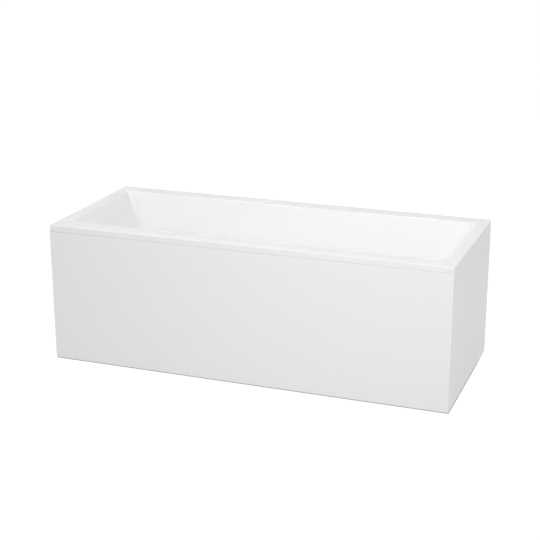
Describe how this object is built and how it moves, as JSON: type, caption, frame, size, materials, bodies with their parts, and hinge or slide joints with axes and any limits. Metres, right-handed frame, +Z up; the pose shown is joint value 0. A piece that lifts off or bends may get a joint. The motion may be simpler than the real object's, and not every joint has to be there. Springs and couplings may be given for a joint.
{
  "type": "alcove bathtub",
  "caption": "Straight white acrylic bathtub with flat deck rim, sloping backrest, front and end panels, levelling feet and pop-up waste with overflow knob.",
  "frame": {"origin": "on the floor under the middle of the rim", "axes": "+X along the tub towards the drain end, +Y towards the wall behind it, +Z up"},
  "size_m": [1.7, 0.7, 0.59],
  "materials": {
    "white_acrylic": "gloss",
    "chipboard": "matte",
    "black_nylon": "satin",
    "bright_chrome": "polished",
    "brass": "satin",
    "black_rubber": "matte",
    "white_polypropylene": "satin",
    "grey_hose": "satin",
    "black_cable": "satin",
    "zinc_steel": "satin"
  },
  "bodies": {
    "tub": {"bowden_cable": "black_cable", "centre_leg_bracket": "zinc_steel", "clip_screws": "zinc_steel", "cradle_rail_foot": "zinc_steel", "cradle_rail_head": "zinc_steel", "drain_flange": "bright_chrome", "drain_gasket": "black_rubber", "end_panel": "white_acrylic", "end_panel_clip_1": "zinc_steel", "end_panel_clip_2": "zinc_steel", "end_panel_stay": "zinc_steel", "floor_board": "chipboard", "frame_screws": "zinc_steel", "front_panel": "white_acrylic", "front_panel_clip_1": "zinc_steel", "front_panel_clip_2": "zinc_steel", "front_panel_clip_3": "zinc_steel", "hose_nut_lower": "white_polypropylene", "hose_nut_upper": "white_polypropylene", "leg_nuts": "zinc_steel", "overflow_body": "white_polypropylene", "overflow_gasket": "black_rubber", "overflow_hose": "grey_hose", "overflow_plate": "bright_chrome", "panel_bracket_foot": "zinc_steel", "panel_bracket_head": "zinc_steel", "panel_screws": "zinc_steel", "rim_batten_back": "chipboard", "rim_batten_foot": "chipboard", "rim_batten_front": "chipboard", "rim_batten_head": "chipboard", "trap_body": "white_polypropylene", "trap_inlet_nut": "white_polypropylene", "trap_outlet_nut": "white_polypropylene", "tub_shell": "white_acrylic", "wall_bracket_1": "zinc_steel", "wall_bracket_2": "zinc_steel", "wall_bracket_screws": "zinc_steel", "waste_body": "white_polypropylene", "waste_outlet": "white_polypropylene", "waste_seal": "black_rubber"},
    "plug": {"drain_plug": "bright_chrome", "plug_seal": "black_rubber", "plug_stem": "brass"},
    "knob": {"overflow_knob": "bright_chrome", "knob_spindle": "brass"},
    "head_front_foot": {"leg_stud_head_front": "zinc_steel", "foot_pad_head_front": "black_nylon"},
    "head_back_foot": {"leg_stud_head_back": "zinc_steel", "foot_pad_head_back": "black_nylon"},
    "foot_front_foot": {"leg_stud_foot_front": "zinc_steel", "foot_pad_foot_front": "black_nylon"},
    "foot_back_foot": {"leg_stud_foot_back": "zinc_steel", "foot_pad_foot_back": "black_nylon"},
    "centre_foot": {"leg_stud_centre": "zinc_steel", "foot_pad_centre": "black_nylon"}
  },
  "joints": [
    {"name": "overflow_knob_turn", "type": "hinge", "parent": "tub", "child": "knob", "pos_m": [0.78376, 0, 0.51], "axis": [-0.9903, 0, 0.1392], "range_deg": [0, 75]},
    {"name": "plug_lift", "type": "slide", "parent": "tub", "child": "plug", "axis": [0, 0, 1], "range_m": [0, 0.01]},
    {"name": "head_front_foot_level", "type": "slide", "parent": "tub", "child": "head_front_foot", "axis": [0, 0, -1], "range_m": [-0.015, 0.025]},
    {"name": "head_back_foot_level", "type": "slide", "parent": "tub", "child": "head_back_foot", "axis": [0, 0, -1], "range_m": [-0.015, 0.025]},
    {"name": "foot_front_foot_level", "type": "slide", "parent": "tub", "child": "foot_front_foot", "axis": [0, 0, -1], "range_m": [-0.015, 0.025]},
    {"name": "foot_back_foot_level", "type": "slide", "parent": "tub", "child": "foot_back_foot", "axis": [0, 0, -1], "range_m": [-0.015, 0.025]},
    {"name": "centre_foot_level", "type": "slide", "parent": "tub", "child": "centre_foot", "axis": [0, 0, -1], "range_m": [-0.015, 0.025]}
  ],
  "couplings": [
    {"joint": "plug_lift", "follows": "overflow_knob_turn", "m_per_rad": 0.00763}
  ]
}
